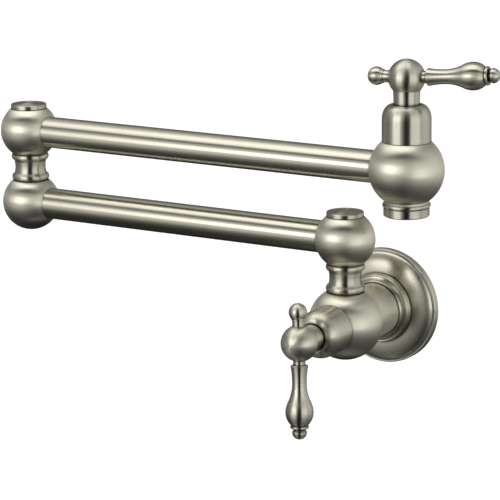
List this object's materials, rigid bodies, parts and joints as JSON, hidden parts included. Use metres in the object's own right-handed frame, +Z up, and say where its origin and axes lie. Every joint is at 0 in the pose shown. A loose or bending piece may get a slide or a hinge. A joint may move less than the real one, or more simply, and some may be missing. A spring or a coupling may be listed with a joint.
{
  "type": "wall mounted pot filler",
  "caption": "Wall mounted pot filler tap: two jointed swing arms between a wall valve and an outlet valve, each with a lever handle, in brushed nickel.",
  "frame": {"origin": "where the inlet's axis meets the face of the wall, behind the centre of the round flange", "axes": "+X along the wall to the right of someone facing it, +Y into the wall along the inlet, +Z up; the arms are stored folded along the wall"},
  "size_m": [0.3821, 0.153, 0.2433],
  "materials": {
    "brushed_nickel": "brushed",
    "brass": "machined",
    "seal_rubber": "matt",
    "gasket_foam": "matt",
    "slip_plastic": "matt",
    "valve_ceramic": "polished",
    "aerator_plastic": "matt",
    "clip_steel": "satin"
  },
  "bodies": {
    "wall_unit": {"inlet_nipple": "brass", "wall_body": "brushed_nickel", "wall_flange": "brushed_nickel", "flange_gasket": "gasket_foam", "flange_lock_ring": "brushed_nickel", "shank_o_ring": "seal_rubber", "wall_bonnet": "brushed_nickel", "wall_cartridge_body": "brass", "wall_cartridge_seal": "seal_rubber", "wall_cartridge_o_ring": "seal_rubber", "wall_cartridge_fixed_disc": "valve_ceramic", "lower_swivel_stem": "brass", "lower_swivel_neck": "brushed_nickel", "lower_swivel_o_rings": "seal_rubber", "lower_swivel_washers": "slip_plastic", "lower_swivel_nut": "brass"},
    "wall_handle": {"wall_handle_hub": "brushed_nickel", "wall_handle_lever": "brushed_nickel", "wall_handle_knob": "brushed_nickel", "wall_cartridge_spindle": "brass", "wall_cartridge_turning_disc": "valve_ceramic", "wall_spindle_o_ring": "seal_rubber", "wall_spindle_clip": "clip_steel"},
    "lower_arm": {"lower_arm_wall_ball": "brushed_nickel", "lower_arm_cap": "brushed_nickel", "lower_arm_tube": "brushed_nickel", "lower_arm_elbow_ball": "brushed_nickel", "elbow_swivel_stem": "brass", "elbow_swivel_neck": "brushed_nickel", "elbow_swivel_o_rings": "seal_rubber", "elbow_swivel_washers": "slip_plastic", "elbow_swivel_nut": "brass"},
    "upper_arm": {"upper_arm_elbow_ball": "brushed_nickel", "upper_arm_cap": "brushed_nickel", "upper_arm_tube": "brushed_nickel", "outlet_body": "brushed_nickel", "outlet_bonnet": "brushed_nickel", "outlet_cartridge_body": "brass", "outlet_cartridge_seal": "seal_rubber", "outlet_cartridge_o_ring": "seal_rubber", "outlet_cartridge_fixed_disc": "valve_ceramic", "aerator_housing": "brushed_nickel", "aerator_insert": "aerator_plastic", "aerator_washer": "seal_rubber"},
    "outlet_handle": {"outlet_handle_hub": "brushed_nickel", "outlet_handle_lever": "brushed_nickel", "outlet_handle_knob": "brushed_nickel", "outlet_cartridge_spindle": "brass", "outlet_cartridge_turning_disc": "valve_ceramic", "outlet_spindle_o_ring": "seal_rubber", "outlet_spindle_clip": "clip_steel"}
  },
  "joints": [
    {"name": "lower_arm_swing", "type": "hinge", "parent": "wall_unit", "child": "lower_arm", "pos_m": [0, -0.058, 0.05653], "axis": [0, 0, 1], "range_deg": [0, 180]},
    {"name": "elbow_swing", "type": "hinge", "parent": "lower_arm", "child": "upper_arm", "pos_m": [-0.254, -0.058, 0.10734], "axis": [0, 0, 1], "continuous": true},
    {"name": "wall_handle_turn", "type": "hinge", "parent": "wall_unit", "child": "wall_handle", "pos_m": [0, -0.1184, 0], "axis": [0, 1, 0], "range_deg": [0, 90]},
    {"name": "outlet_handle_turn", "type": "hinge", "parent": "upper_arm", "child": "outlet_handle", "pos_m": [0.0456, -0.058, 0.16774], "axis": [0, 0, -1], "range_deg": [0, 90]}
  ]
}
